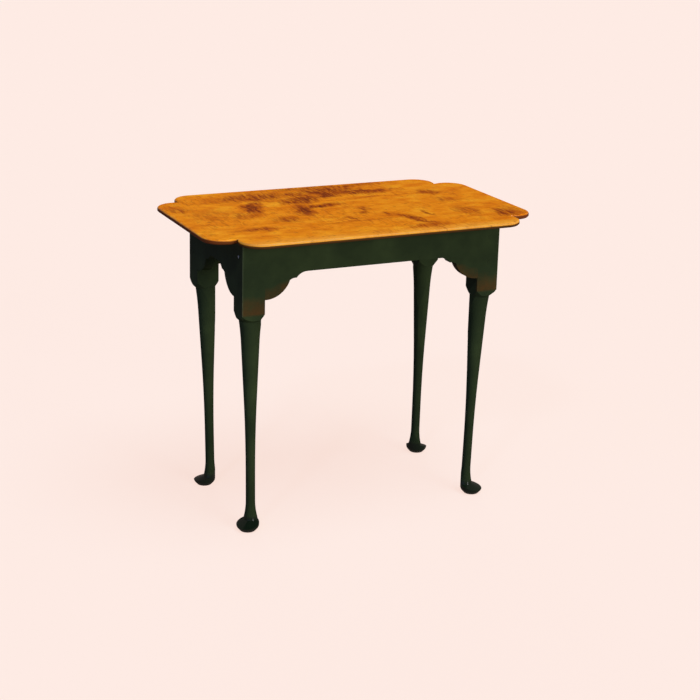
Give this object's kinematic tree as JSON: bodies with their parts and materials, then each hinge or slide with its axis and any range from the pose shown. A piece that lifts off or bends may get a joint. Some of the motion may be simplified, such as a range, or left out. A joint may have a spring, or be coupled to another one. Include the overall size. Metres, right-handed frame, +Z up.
{
  "type": "tea table",
  "caption": "Low rectangular tea table: thin top with double-lobed corners on a frame of shaped aprons and slim offset-turned legs with pad feet.",
  "frame": {"origin": "on the floor under the middle of the table", "axes": "+X along the table's length, -Y towards the front, +Z up"},
  "size_m": [0.778, 0.49, 0.673],
  "materials": {
    "maple_top": "amber stained figured maple under satin varnish",
    "painted_frame": "dark green satin paint, rubbed brown at edges",
    "painted_pegs": "dark green satin paint",
    "bare_wood": "unfinished hardwood",
    "screw_steel": "plain slotted wood screws"
  },
  "bodies": {
    "root": {"top": "maple_top", "leg_front_left": "painted_frame", "leg_front_right": "painted_frame", "leg_back_left": "painted_frame", "leg_back_right": "painted_frame", "apron_front": "painted_frame", "apron_back": "painted_frame", "apron_left": "painted_frame", "apron_right": "painted_frame", "pegs_front_apron_left": "painted_pegs", "pegs_front_apron_right": "painted_pegs", "pegs_back_apron_left": "painted_pegs", "pegs_back_apron_right": "painted_pegs", "pegs_left_apron_front": "painted_pegs", "pegs_left_apron_back": "painted_pegs", "pegs_right_apron_front": "painted_pegs", "pegs_right_apron_back": "painted_pegs", "button_front_left": "bare_wood", "button_front_right": "bare_wood", "button_back_left": "bare_wood", "button_back_right": "bare_wood", "button_left": "bare_wood", "button_right": "bare_wood", "button_screws": "screw_steel"}
  },
  "joints": []
}
